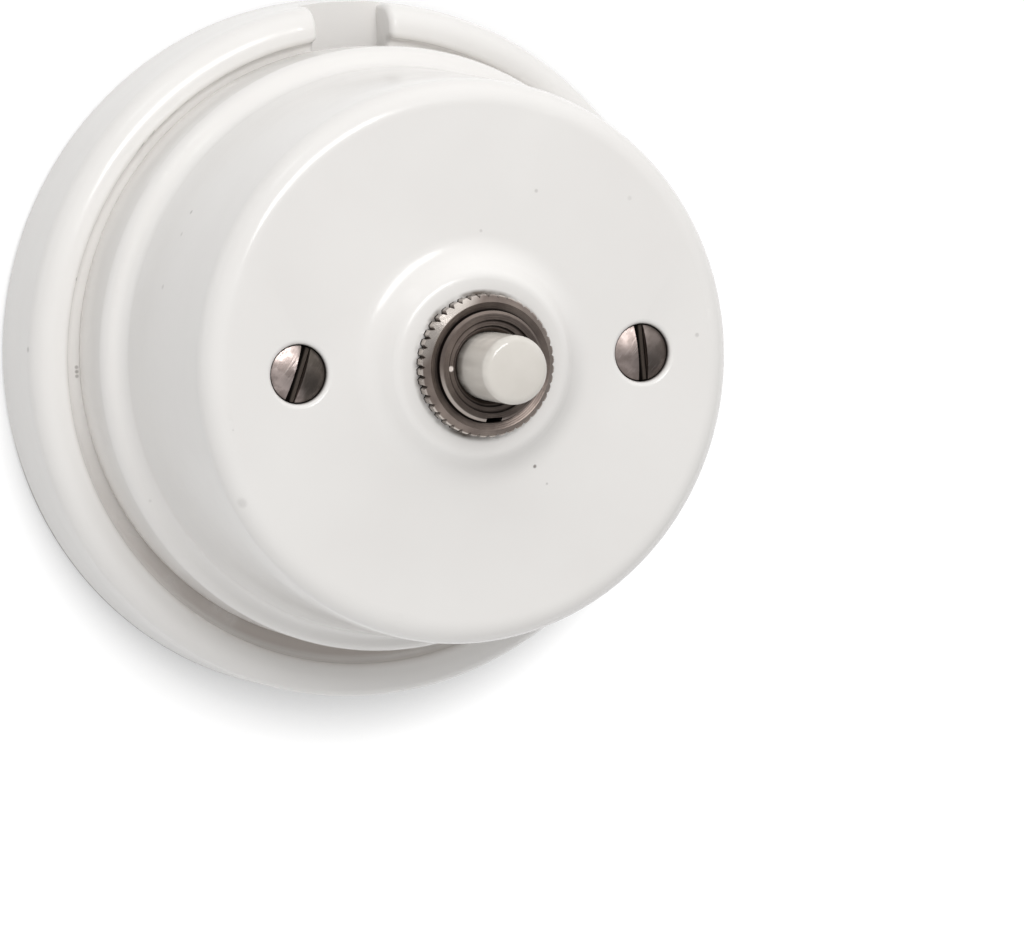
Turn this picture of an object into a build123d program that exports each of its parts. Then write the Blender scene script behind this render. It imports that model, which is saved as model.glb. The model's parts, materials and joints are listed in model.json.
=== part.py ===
from build123d import *
import os
from math import atan2, cos, pi, sin, tan

# Porcelain doorbell push, in millimetres.
# The wall is the plane Y = 0, the front faces -Y and Z is up, with the axis of the push along Y.
# A depth is a distance from the wall along that axis, so a point at depth d lies at Y = -d.

# Mounting base
BASE_DIAMETER = 80.0
# The cover sits this much above the middle of the base, within the room round its spigot
BASE_DROP = 0.6
WALL_EDGE_ROUND = 0.6
RIM_HEIGHT = 11.8
RIM_WIDTH = 4.3
RIM_TAPER = 0.4
RIM_OUTER_ROUND = 2.8
RIM_INNER_ROUND = 0.75
SEAT_HEIGHT = 10.2
GROOVE_ROUND = 0.8
FOOT_RING_WIDTH = 6.0
BACK_HOLLOW = 2.0
SPIGOT_HEIGHT = 2.0
SPIGOT_WIDTH = 2.4
SPIGOT_ROUND = 0.5
WELL_DEPTH = 4.2
NOTCH_WIDTH = 8.8
# The notch lies this far to the right of the middle, so a negative one lies to the left
NOTCH_OFFSET = -0.55
NOTCH_SINK = 3.0
NOTCH_ROUND = 0.75

# Screw holes that fasten the base to the wall, one above the other
WALL_HOLE_SPACING = 40.0
WALL_HOLE_DIAMETER = 4.5
WALL_HOLE_SINK_DIAMETER = 8.6
WALL_HOLE_SINK_DEPTH = 2.0
WALL_HOLE_PAD_DIAMETER = 12.0

# Cover
GROOVE_WIDTH = 1.6
FOOT_ROUND = 0.25
FOOT_WIDTH = 4.7
FOOT_CLEARANCE = 0.3
FOOT_DEPTH = 2.7
FLANGE_HEIGHT = 9.1
SHOULDER_WIDTH = 2.2
SHOULDER_RISE = 1.2
SHOULDER_ROUND = 2.2
BLEND_ROUND = 2.4
COVER_HEIGHT = 33.2
WALL_TAPER = 1.3
COVER_WALL = 4.2
FACE_THICKNESS = 4.5
FACE_EDGE_ROUND = 2.8
CAVITY_ROUND = 2.5
BOSS_HEIGHT = 2.6
BOSS_TOP_DIAMETER = 19.8
BOSS_FLARE = 2.3
BOSS_BLEND_ROUND = 4.0
BOSS_EDGE_ROUND = 1.5
BUSH_HOLE_CLEARANCE = 0.2

# Cover screws, pillars and pillar screws
# The screws stand this share of the way from the boss to the edge of the face
SCREW_SHARE = 0.424
SCREW_DIAMETER = 3.5
SCREW_CLEARANCE = 0.3
THREAD_CLEARANCE = 0.05
HEAD_DIAMETER = 6.1
HEAD_CLEARANCE = 0.15
HEAD_SINK = 3.1
HEAD_HEIGHT = 3.0
HEAD_DOME_RISE = 0.6
SCREW_HOLE_ROUND = 0.6
SLOT_WIDTH = 1.1
SLOT_DEPTH = 1.0
SLOT_ANGLES = {"left": 20.0, "right": -4.0}
COVER_SCREW_LENGTH = 22.0
PILLAR_SIDES = 6
PILLAR_ACROSS_FLATS = 7.0
PILLAR_GAP = 5.0
PILLAR_SCREW_LENGTH = 14.0
PILLAR_SCREW_HEAD_DIAMETER = 6.6
PILLAR_SCREW_HEAD_HEIGHT = 1.7

# Ring nut
NUT_DIAMETER = 15.4
NUT_THICKNESS = 2.2
NUT_CHAMFER = 0.8
NUT_DISH = 0.2
KNURL_TEETH = 44
KNURL_DEPTH = 0.35
# Share of each tooth's pitch that its flat crest takes
KNURL_CREST_SHARE = 0.5

# Bush
THREAD_DIAMETER = 12.0
BUSH_PROUD = 0.6
BUSH_CHAMFER = 0.3
END_RECESS_DIAMETER = 10.1
END_RECESS_DEPTH = 0.35
LIP_RECESS_DIAMETER = 8.8
LIP_RECESS_DEPTH = 0.35
LIP_THICKNESS = 1.6
LIP_CHAMFER = 0.3
KEYWAY_WIDTH = 1.8
KEYWAY_DEPTH = 0.5
KEY_CLEARANCE = 0.1
BUSH_FLANGE_THICKNESS = 1.6
WASHER_DIAMETER = 18.0
WASHER_CLEARANCE = 0.2
KEY_WASHER_THICKNESS = 0.8
SEALING_WASHER_THICKNESS = 0.8

# Button and plunger
BUTTON_DIAMETER = 7.4
BUTTON_HEIGHT = 7.1
BUTTON_DOME_RISE = 0.45
BUTTON_EDGE_ROUND = 0.9
BUTTON_CLEARANCE = 0.1
COLLAR_WIDTH = 0.7
COLLAR_THICKNESS = 1.6
TRAVEL = 2.5
STEM_DIAMETER = 3.0
STEM_SOCKET_DEPTH = 6.0
STEM_GLUE_GAP = 0.05
STEM_CLEARANCE = 0.05
BRIDGE_CLEARANCE = 0.05
CLIP_CLEARANCE = 0.05
STEM_TAIL_DIAMETER = 2.0
STEM_TAIL_LENGTH = 0.8
CLIP_DIAMETER = 4.4
CLIP_THICKNESS = 0.6
CLIP_GROOVE_DEPTH = 0.25
CLIP_GAP = 1.4
BRIDGE_LENGTH = 16.0
BRIDGE_WIDTH = 5.0
BRIDGE_THICKNESS = 0.6
CLOSING_GAP = 0.1
SPRING_WIRE_DIAMETER = 0.6
SPRING_DIAMETER = 6.4
SPRING_TURNS = 5
SPRING_END_GAP = 0.05

# Switch body, contact plate and terminals
BODY_DIAMETER = 24.0
BODY_LENGTH = 12.0
CHAMBER_DEPTH = 9.6
CHAMBER_CLEARANCE = 1.0
CHAMBER_ROUND = 1.0
PLATE_THICKNESS = 2.8
CONTACT_SPACING = 12.0
CONTACT_HEAD_DIAMETER = 4.4
CONTACT_HEAD_HEIGHT = 0.8
CONTACT_SHANK_DIAMETER = 3.6
CONTACT_FIT = 0.05
TERMINAL_SCREW_DIAMETER = 2.5
TERMINAL_SCREW_LENGTH = 3.0
TERMINAL_HEAD_DIAMETER = 4.4
TERMINAL_HEAD_HEIGHT = 1.5
CLAMP_SIZE = 6.0
CLAMP_THICKNESS = 0.8
CLAMP_CLEARANCE = 0.1
BODY_SCREW_SPACING = 17.0
BODY_SCREW_DIAMETER = 2.0
BODY_SCREW_CLEARANCE = 0.1
BODY_SCREW_HEAD_DIAMETER = 3.8
BODY_SCREW_HEAD_HEIGHT = 1.4
SMALL_SLOT_WIDTH = 0.5
SMALL_SLOT_DEPTH = 0.7

# Cuts run this far past the surface that they leave through
OVERCUT = 1.0
# Points closer than this lie on the same surface
TOUCH = 0.01
# Two roundings that meet along one run leave the rest of it straight
ROUNDED_SHARE = 0.98

# Which way the two sides lie along X
SIDES = {"left": -1, "right": 1}

# Radii and depths that follow from the sizes above
base_radius = BASE_DIAMETER / 2
rim_inner_radius = base_radius - RIM_WIDTH
flange_radius = rim_inner_radius - GROOVE_WIDTH
foot_inner_radius = flange_radius - FOOT_WIDTH
spigot_radius = foot_inner_radius - FOOT_CLEARANCE - BASE_DROP
spigot_top = SEAT_HEIGHT + SPIGOT_HEIGHT
well_radius = spigot_radius - SPIGOT_WIDTH
well_floor = SEAT_HEIGHT - WELL_DEPTH
notch_floor = SEAT_HEIGHT - NOTCH_SINK
hollow_radius = base_radius - FOOT_RING_WIDTH
shoulder_depth = SEAT_HEIGHT + FLANGE_HEIGHT
wall_base_radius = flange_radius - SHOULDER_WIDTH
wall_top_radius = wall_base_radius - WALL_TAPER
face_depth = SEAT_HEIGHT + COVER_HEIGHT
ceiling_depth = face_depth - FACE_THICKNESS
boss_depth = face_depth + BOSS_HEIGHT
boss_top_radius = BOSS_TOP_DIAMETER / 2
boss_foot_radius = boss_top_radius + BOSS_FLARE
thread_radius = THREAD_DIAMETER / 2
screw_offset = boss_foot_radius + SCREW_SHARE * (wall_top_radius - boss_foot_radius)
head_seat = face_depth - HEAD_SINK
head_hole_radius = HEAD_DIAMETER / 2 + HEAD_CLEARANCE
screw_radius = SCREW_DIAMETER / 2
nut_front = boss_depth + NUT_THICKNESS
bush_end = nut_front + BUSH_PROUD
bush_flange_front = ceiling_depth - SEALING_WASHER_THICKNESS - KEY_WASHER_THICKNESS
bush_flange_back = bush_flange_front - BUSH_FLANGE_THICKNESS
end_recess_floor = bush_end - END_RECESS_DEPTH
lip_front = end_recess_floor - LIP_RECESS_DEPTH
lip_back = lip_front - LIP_THICKNESS
button_radius = BUTTON_DIAMETER / 2
collar_radius = button_radius + COLLAR_WIDTH
collar_bore_radius = collar_radius + BUTTON_CLEARANCE
collar_back = lip_back - COLLAR_THICKNESS
stem_radius = STEM_DIAMETER / 2
tail_radius = STEM_TAIL_DIAMETER / 2
body_radius = BODY_DIAMETER / 2
body_back = bush_flange_back - BODY_LENGTH
plate_back = body_back - PLATE_THICKNESS
contact_front = body_back + CONTACT_HEAD_HEIGHT
bridge_back = contact_front + CLOSING_GAP + TRAVEL
bridge_front = bridge_back + BRIDGE_THICKNESS
clip_back = bridge_back - CLIP_THICKNESS
clamp_back = plate_back - CLAMP_THICKNESS
body_screw_radius = BODY_SCREW_DIAMETER / 2
terminal_screw_radius = TERMINAL_SCREW_DIAMETER / 2


def plane_at(depth):
    """The plane across the push's axis at a depth, seen from the front: x to the right, y up."""
    return Plane.XZ.offset(depth)


def rod(radius, near, far, x=0.0, z=0.0):
    """A round bar along the axis, from the depth near the wall to the far one."""
    return extrude(plane_at(near) * Pos(x, z) * Circle(radius), far - near)


def block(width, height, near, far, x=0.0, z=0.0):
    """A square-cornered bar along the axis, between two depths."""
    return extrude(plane_at(near) * Pos(x, z) * Rectangle(width, height), far - near)


def cone(near_radius, far_radius, near, far, x=0.0, z=0.0):
    """A tapered bar along the axis, between two depths."""
    near_face = plane_at(near) * Pos(x, z) * Circle(near_radius)
    far_face = plane_at(far) * Pos(x, z) * Circle(far_radius)
    return loft([near_face, far_face])


def fitted_roundings(points, roundings):
    """The roundings of a closed outline, each limited by the straight runs beside its corner."""
    count = len(points)
    corners = [Vector(*point) for point in points]
    runs = [corners[(i + 1) % count] - corners[i] for i in range(count)]
    tangents = []
    for i in range(count):
        before = runs[i - 1]
        after = runs[i]
        turn = abs(atan2(before.cross(after).Z, before.dot(after)))
        tangents.append(roundings[i] * tan(turn / 2))
    scales = [1.0] * count
    for i in range(count):
        following = (i + 1) % count
        needed = tangents[i] + tangents[following]
        if needed > runs[i].length:
            share = ROUNDED_SHARE * runs[i].length / needed
            scales[i] = min(scales[i], share)
            scales[following] = min(scales[following], share)
    return [rounding * scale for rounding, scale in zip(roundings, scales)]


def turned(*corners):
    """A solid turned about the push's axis, from corners of radius, depth and rounding."""
    points = [(radius, -depth) for radius, depth, _ in corners]
    roundings = fitted_roundings(points, [rounding for _, _, rounding in corners])
    outline = FilletPolyline(*points, radius=roundings, close=True)
    return revolve(make_face(outline), Axis.Y)


def ring(inner_radius, outer_radius, near, far, x=0.0, z=0.0):
    """A plain washer between two depths."""
    return rod(outer_radius, near, far, x, z) - rod(inner_radius, near, far, x, z)


def domed_rod(radius, rise, near, crown, x=0.0, z=0.0):
    """A round bar from a depth to its crown, whose domed end rises by the given height."""
    ball_radius = (radius ** 2 + rise ** 2) / (2 * rise)
    ball = Pos(x, ball_radius - crown, z) * Sphere(ball_radius)
    return rod(radius, near, crown + OVERCUT, x, z) & ball


def slot(width, length, near, far, x=0.0, z=0.0, angle=0.0):
    """A screwdriver slot across a head; the angle leans its top to the right."""
    across = plane_at(near) * Pos(x, z) * Rot(0, 0, -angle)
    return extrude(across * Rectangle(width, length), far - near)


def mounting_base():
    """Porcelain dish with a half-rounded rim, a seat for the cover and a notch for the cable."""
    base = turned(
        (0, BACK_HOLLOW, 0),
        (hollow_radius, BACK_HOLLOW, 0),
        (hollow_radius, 0, 0),
        (base_radius, 0, WALL_EDGE_ROUND),
        (base_radius - RIM_TAPER, RIM_HEIGHT, RIM_OUTER_ROUND),
        (rim_inner_radius, RIM_HEIGHT, RIM_INNER_ROUND),
        (rim_inner_radius, SEAT_HEIGHT, GROOVE_ROUND),
        (spigot_radius, SEAT_HEIGHT, 0),
        (spigot_radius, spigot_top, SPIGOT_ROUND),
        (well_radius, spigot_top, SPIGOT_ROUND),
        (well_radius, well_floor, 0),
        (0, well_floor, 0),
    )
    notch_reach = base_radius + OVERCUT
    notch_top = RIM_HEIGHT + OVERCUT
    base -= block(NOTCH_WIDTH, notch_reach, notch_floor, notch_top, NOTCH_OFFSET, notch_reach / 2)
    rim_share = ROUNDED_SHARE * (RIM_HEIGHT - SEAT_HEIGHT) / (RIM_INNER_ROUND + GROOVE_ROUND)
    smaller_rim_round = min(RIM_INNER_ROUND, GROOVE_ROUND) * min(rim_share, 1)
    notch_round = min(NOTCH_ROUND, smaller_rim_round)
    base = Pos(0, 0, -BASE_DROP) * fillet(notch_edges(base), notch_round)

    for z in (-WALL_HOLE_SPACING / 2, WALL_HOLE_SPACING / 2):
        sink_floor = well_floor - WALL_HOLE_SINK_DEPTH
        base += rod(WALL_HOLE_PAD_DIAMETER / 2, 0, BACK_HOLLOW, z=z)
        base -= rod(WALL_HOLE_DIAMETER / 2, -OVERCUT, sink_floor, z=z)
        base -= cone(WALL_HOLE_DIAMETER / 2, WALL_HOLE_SINK_DIAMETER / 2, sink_floor, well_floor, z=z)

    for side in SIDES.values():
        x = side * screw_offset
        base -= rod(screw_radius + SCREW_CLEARANCE, BACK_HOLLOW, well_floor + OVERCUT, x)
        base -= pillar_screw_head(x, SCREW_CLEARANCE)
    return base


def notch_edges(base):
    """The edges where the two walls of the cable notch cross the rounded rim."""
    walls = base.faces().filter_by(Axis.X)
    edges = []
    for wall in walls:
        for edge in wall.edges():
            middle = edge.center()
            on_floor = abs(middle.Y + notch_floor) < TOUCH
            if middle.Z > flange_radius and not on_floor:
                edges.append(edge)
    return edges


def pillar_screw_head(x, spare=0.0):
    """Countersunk head at the back of the base, or with spare room the sink that takes it."""
    head_radius = PILLAR_SCREW_HEAD_DIAMETER / 2 + spare
    neck_radius = screw_radius + spare
    return cone(head_radius, neck_radius, BACK_HOLLOW, BACK_HOLLOW + PILLAR_SCREW_HEAD_HEIGHT, x)


def cover():
    """Hollow porcelain cover: wider foot, rounded shoulder, tapered wall, flat face and boss."""
    cavity_top_radius = wall_top_radius - COVER_WALL
    cavity_base_radius = wall_base_radius - COVER_WALL
    foot_step = SEAT_HEIGHT + FOOT_DEPTH
    bush_hole_radius = thread_radius + BUSH_HOLE_CLEARANCE
    shell = turned(
        (foot_inner_radius, SEAT_HEIGHT, FOOT_ROUND),
        (flange_radius, SEAT_HEIGHT, FOOT_ROUND),
        (flange_radius, shoulder_depth - SHOULDER_RISE / 2, SHOULDER_ROUND),
        (wall_base_radius, shoulder_depth + SHOULDER_RISE / 2, BLEND_ROUND),
        (wall_top_radius, face_depth, FACE_EDGE_ROUND),
        (boss_foot_radius, face_depth, BOSS_BLEND_ROUND),
        (boss_top_radius, boss_depth, BOSS_EDGE_ROUND),
        (bush_hole_radius, boss_depth, 0),
        (bush_hole_radius, ceiling_depth, 0),
        (cavity_top_radius, ceiling_depth, CAVITY_ROUND),
        (cavity_base_radius, foot_step, 0),
        (foot_inner_radius, foot_step, 0),
    )
    mouse_hole_reach = flange_radius + OVERCUT
    shell -= block(
        NOTCH_WIDTH, mouse_hole_reach, SEAT_HEIGHT, RIM_HEIGHT, NOTCH_OFFSET, mouse_hole_reach / 2
    )
    for side in SIDES.values():
        x = side * screw_offset
        shell -= rod(screw_radius + SCREW_CLEARANCE, ceiling_depth - OVERCUT, face_depth, x)
        shell -= rod(head_hole_radius, head_seat, face_depth, x)
    return fillet(screw_mouths(shell), SCREW_HOLE_ROUND)


def screw_mouths(shell):
    """The two edges where the sunk screw holes open in the face."""
    on_face = shell.edges().filter_by(GeomType.CIRCLE).filter_by_position(
        Axis.Y, -face_depth - TOUCH, -face_depth + TOUCH
    )
    return [edge for edge in on_face if abs(edge.radius - head_hole_radius) < TOUCH]


def cover_screws():
    """Two slotted dome-head screws that hold the cover to the pillars."""
    screws = []
    for name, side in SIDES.items():
        x = side * screw_offset
        crown = head_seat + HEAD_HEIGHT
        head_radius = HEAD_DIAMETER / 2
        head = domed_rod(head_radius, HEAD_DOME_RISE, head_seat, crown, x)
        shank = rod(screw_radius, head_seat - COVER_SCREW_LENGTH, head_seat, x)
        slot_length = HEAD_DIAMETER + OVERCUT
        slot_floor = crown - SLOT_DEPTH
        screw_slot = slot(SLOT_WIDTH, slot_length, slot_floor, crown + OVERCUT, x, angle=SLOT_ANGLES[name])
        screws.append(head + shank - screw_slot)
    return Compound(screws)


def pillar(side):
    """Hexagon brass pillar, tapped through, that stands in the base and takes a cover screw."""
    x = side * screw_offset
    top = ceiling_depth - PILLAR_GAP
    half_side = 180 / PILLAR_SIDES
    hexagon = RegularPolygon(
        PILLAR_ACROSS_FLATS / 2, PILLAR_SIDES, major_radius=False, rotation=half_side
    )
    bar = extrude(plane_at(well_floor) * Pos(x, 0) * hexagon, top - well_floor)
    return bar - rod(screw_radius + THREAD_CLEARANCE, well_floor, top, x)


def pillar_screws():
    """Two countersunk screws from the back of the base into the pillars."""
    screws = []
    for side in SIDES.values():
        x = side * screw_offset
        screw = pillar_screw_head(x) + rod(screw_radius, BACK_HOLLOW, BACK_HOLLOW + PILLAR_SCREW_LENGTH, x)
        slot_floor = BACK_HOLLOW + SMALL_SLOT_DEPTH
        screw -= slot(SLOT_WIDTH, HEAD_DIAMETER + OVERCUT, BACK_HOLLOW - OVERCUT, slot_floor, x)
        screws.append(screw)
    return Compound(screws)


def ring_nut():
    """Round nut with a flat-topped knurl, a bevelled front edge and a slightly dished face."""
    crest = NUT_DIAMETER / 2
    bevel_radius = crest - NUT_CHAMFER
    bore_radius = thread_radius + THREAD_CLEARANCE
    valley = crest - KNURL_DEPTH
    pitch = 2 * pi / KNURL_TEETH
    crest_angle = KNURL_CREST_SHARE * pitch
    outline = []
    for tooth in range(KNURL_TEETH):
        start = tooth * pitch
        end = start + crest_angle
        middle = (end + start + pitch) / 2
        for radius, angle in ((crest, start), (crest, end), (valley, middle)):
            outline.append((radius * cos(angle), radius * sin(angle)))
    teeth = extrude(plane_at(boss_depth) * Polygon(*outline, align=None), NUT_THICKNESS)
    blank = turned(
        (bore_radius, boss_depth, 0),
        (crest, boss_depth, 0),
        (crest, nut_front - NUT_CHAMFER, 0),
        (bevel_radius, nut_front, 0),
        (bore_radius, nut_front - NUT_DISH, 0),
    )
    return teeth & blank


def bush():
    """Threaded bush with a flange behind, a keyway below and an end stepped down to the button."""
    lip_bore_radius = button_radius + BUTTON_CLEARANCE
    end_recess_radius = END_RECESS_DIAMETER / 2
    lip_recess_radius = LIP_RECESS_DIAMETER / 2
    sleeve = turned(
        (collar_bore_radius, bush_flange_back, 0),
        (body_radius, bush_flange_back, 0),
        (body_radius, bush_flange_front, 0),
        (thread_radius, bush_flange_front, 0),
        (thread_radius, bush_end - BUSH_CHAMFER, 0),
        (thread_radius - BUSH_CHAMFER, bush_end, 0),
        (end_recess_radius, bush_end, 0),
        (end_recess_radius, end_recess_floor, 0),
        (lip_recess_radius, end_recess_floor, 0),
        (lip_recess_radius, lip_front, 0),
        (lip_bore_radius + LIP_CHAMFER, lip_front, 0),
        (lip_bore_radius, lip_front - LIP_CHAMFER, 0),
        (lip_bore_radius, lip_back, 0),
        (collar_bore_radius, lip_back, 0),
    )
    keyway_floor = thread_radius - KEYWAY_DEPTH
    sleeve -= block(
        KEYWAY_WIDTH, KEYWAY_DEPTH + OVERCUT, bush_flange_front, bush_end + OVERCUT,
        z=-keyway_floor - (KEYWAY_DEPTH + OVERCUT) / 2,
    )
    for z in (-BODY_SCREW_SPACING / 2, BODY_SCREW_SPACING / 2):
        sleeve -= rod(body_screw_radius + THREAD_CLEARANCE, bush_flange_back, bush_flange_front, z=z)
    return sleeve


def key_washer():
    """Steel washer whose tab sits in the bush's keyway."""
    near = bush_flange_front
    far = near + KEY_WASHER_THICKNESS
    inner_radius = thread_radius + WASHER_CLEARANCE
    tab_tip = thread_radius - KEYWAY_DEPTH + KEY_CLEARANCE
    tab_root = (inner_radius + WASHER_DIAMETER / 2) / 2
    washer = ring(inner_radius, WASHER_DIAMETER / 2, near, far)
    tab_width = KEYWAY_WIDTH - 2 * KEY_CLEARANCE
    return washer + block(tab_width, tab_root - tab_tip, near, far, z=-(tab_root + tab_tip) / 2)


def sealing_washer():
    """Fibre washer between the key washer and the inside of the cover."""
    near = bush_flange_front + KEY_WASHER_THICKNESS
    return ring(thread_radius + WASHER_CLEARANCE, WASHER_DIAMETER / 2, near, ceiling_depth)


def push_button():
    """Porcelain button with a domed tip, a collar that the bush retains and a socket for the stem."""
    crown = bush_end + BUTTON_HEIGHT
    tip = domed_rod(button_radius, BUTTON_DOME_RISE, collar_back, crown)
    tip_edge = tip.edges().filter_by(GeomType.CIRCLE).sort_by(Axis.Y)[0]
    button = fillet(tip_edge, BUTTON_EDGE_ROUND) + rod(collar_radius, collar_back, lip_back)
    return button - rod(stem_radius + STEM_GLUE_GAP, collar_back, collar_back + STEM_SOCKET_DEPTH)


def plunger_stem():
    """Brass rod from the button to the bridge, with a grooved tail for the clip."""
    tail_end = clip_back - STEM_TAIL_LENGTH
    stem = rod(stem_radius, bridge_front, collar_back + STEM_SOCKET_DEPTH)
    stem += rod(tail_radius, tail_end, bridge_front)
    return stem - ring(tail_radius - CLIP_GROOVE_DEPTH, stem_radius, clip_back, bridge_back)


def return_spring():
    """Coil spring round the stem, between the switch body and the button's collar."""
    wire_radius = SPRING_WIRE_DIAMETER / 2
    start = bush_flange_back + SPRING_END_GAP + wire_radius
    end = collar_back - SPRING_END_GAP - wire_radius
    height = end - start
    coil_radius = SPRING_DIAMETER / 2 - wire_radius
    path = Helix(height / SPRING_TURNS, height, coil_radius, center=(0, -start, 0), direction=(0, -1, 0))
    section = Plane(origin=path @ 0, z_dir=path % 0) * Circle(wire_radius)
    return sweep(section, path=path, is_frenet=True)


def contact_bridge():
    """Round-ended brass strip on the stem's tail that joins the two contacts."""
    strip = plane_at(bridge_back) * SlotOverall(BRIDGE_LENGTH, BRIDGE_WIDTH)
    hole_radius = tail_radius + BRIDGE_CLEARANCE
    return extrude(strip, BRIDGE_THICKNESS) - rod(hole_radius, bridge_back, bridge_front)


def bridge_clip():
    """Open clip in the stem's groove, behind the bridge."""
    inner_radius = tail_radius - CLIP_GROOVE_DEPTH + CLIP_CLEARANCE
    clip = ring(inner_radius, CLIP_DIAMETER / 2, clip_back, bridge_back)
    return clip - block(CLIP_GAP, CLIP_DIAMETER, clip_back, bridge_back, z=-CLIP_DIAMETER / 2)


def body_screw_holes(near, far):
    """Clearance holes for the two long screws that hold the switch together."""
    spread = BODY_SCREW_SPACING / 2
    radius = body_screw_radius + BODY_SCREW_CLEARANCE
    return rod(radius, near, far, z=-spread) + rod(radius, near, far, z=spread)


def switch_body():
    """Phenolic block with a guide bore for the stem and a chamber for the bridge."""
    body = rod(body_radius, body_back, bush_flange_back)
    chamber = RectangleRounded(
        BRIDGE_LENGTH + 2 * CHAMBER_CLEARANCE, BRIDGE_WIDTH + 2 * CHAMBER_CLEARANCE, CHAMBER_ROUND
    )
    body -= extrude(plane_at(body_back) * chamber, CHAMBER_DEPTH)
    body -= rod(stem_radius + STEM_CLEARANCE, body_back, bush_flange_back)
    return body - body_screw_holes(body_back, bush_flange_back)


def contact_plate():
    """Phenolic plate that closes the chamber and carries the two contacts."""
    plate = rod(body_radius, plate_back, body_back)
    plate -= rod(stem_radius, plate_back, body_back)
    for side in SIDES.values():
        x = side * CONTACT_SPACING / 2
        plate -= rod(CONTACT_SHANK_DIAMETER / 2 + CONTACT_FIT, plate_back, body_back, x)
    return plate - body_screw_holes(plate_back, body_back)


def contact(side):
    """Turned brass contact stud, tapped from behind for its terminal screw."""
    x = side * CONTACT_SPACING / 2
    stud = rod(CONTACT_HEAD_DIAMETER / 2, body_back, contact_front, x)
    stud += rod(CONTACT_SHANK_DIAMETER / 2, plate_back, body_back, x)
    tapped_end = clamp_back + TERMINAL_SCREW_LENGTH + THREAD_CLEARANCE
    return stud - rod(terminal_screw_radius + THREAD_CLEARANCE, plate_back, tapped_end, x)


def wire_clamps():
    """Two square clamp washers behind the contact plate."""
    clamps = []
    for side in SIDES.values():
        x = side * CONTACT_SPACING / 2
        clamp = block(CLAMP_SIZE, CLAMP_SIZE, clamp_back, plate_back, x)
        hole_radius = terminal_screw_radius + CLAMP_CLEARANCE
        clamps.append(clamp - rod(hole_radius, clamp_back, plate_back, x))
    return Compound(clamps)


def slotted_screw(head_radius, head_height, shank_radius, seat, end, x=0.0, z=0.0):
    """Cheese-head screw whose head faces the wall and whose shank ends at a greater depth."""
    head_back = seat - head_height
    screw = rod(head_radius, head_back, seat, x, z) + rod(shank_radius, seat, end, x, z)
    slot_length = 2 * head_radius + OVERCUT
    return screw - slot(SMALL_SLOT_WIDTH, slot_length, head_back, head_back + SMALL_SLOT_DEPTH, x, z)


def terminal_screws():
    """Two screws that clamp the bell wires to the contacts."""
    end = clamp_back + TERMINAL_SCREW_LENGTH
    head_radius = TERMINAL_HEAD_DIAMETER / 2
    screws = []
    for side in SIDES.values():
        x = side * CONTACT_SPACING / 2
        screws.append(
            slotted_screw(head_radius, TERMINAL_HEAD_HEIGHT, terminal_screw_radius, clamp_back, end, x)
        )
    return Compound(screws)


def body_screws():
    """Two long screws through plate and body into the bush's flange."""
    head_radius = BODY_SCREW_HEAD_DIAMETER / 2
    screws = []
    for z in (-BODY_SCREW_SPACING / 2, BODY_SCREW_SPACING / 2):
        screws.append(
            slotted_screw(
                head_radius, BODY_SCREW_HEAD_HEIGHT, body_screw_radius, plate_back, bush_flange_front, z=z
            )
        )
    return Compound(screws)


pieces = {
    "mounting_base": mounting_base(),
    "cover": cover(),
    "cover_screws": cover_screws(),
    "left_pillar": pillar(SIDES["left"]),
    "right_pillar": pillar(SIDES["right"]),
    "pillar_screws": pillar_screws(),
    "ring_nut": ring_nut(),
    "bush": bush(),
    "key_washer": key_washer(),
    "sealing_washer": sealing_washer(),
    "push_button": push_button(),
    "plunger_stem": plunger_stem(),
    "return_spring": return_spring(),
    "contact_bridge": contact_bridge(),
    "bridge_clip": bridge_clip(),
    "switch_body": switch_body(),
    "contact_plate": contact_plate(),
    "left_contact": contact(SIDES["left"]),
    "right_contact": contact(SIDES["right"]),
    "wire_clamps": wire_clamps(),
    "terminal_screws": terminal_screws(),
    "body_screws": body_screws(),
}

os.makedirs("parts", exist_ok=True)
for name, piece in pieces.items():
    export_step(piece, f"parts/{name}.step")
    print(f"{name}: {piece.volume:.1f} cubic mm")
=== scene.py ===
# %% [markdown]
# A porcelain bell push
#
# This push for a door bell is two pieces of white glazed porcelain, a dish-like base and a hollow
# cover, with a porcelain button that slides in a threaded metal bush. The solids come from a CAD
# model in its own frame: the wall is the plane Y = 0, the button faces -Y and Z is up. Blender
# adds what a solid lacks: glaze, tarnish, dirt, light and a camera.

# %% Load the solids
import bmesh
import bpy
import json
from math import cos, pi, radians, sin
from mathutils import Matrix, Vector

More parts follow.
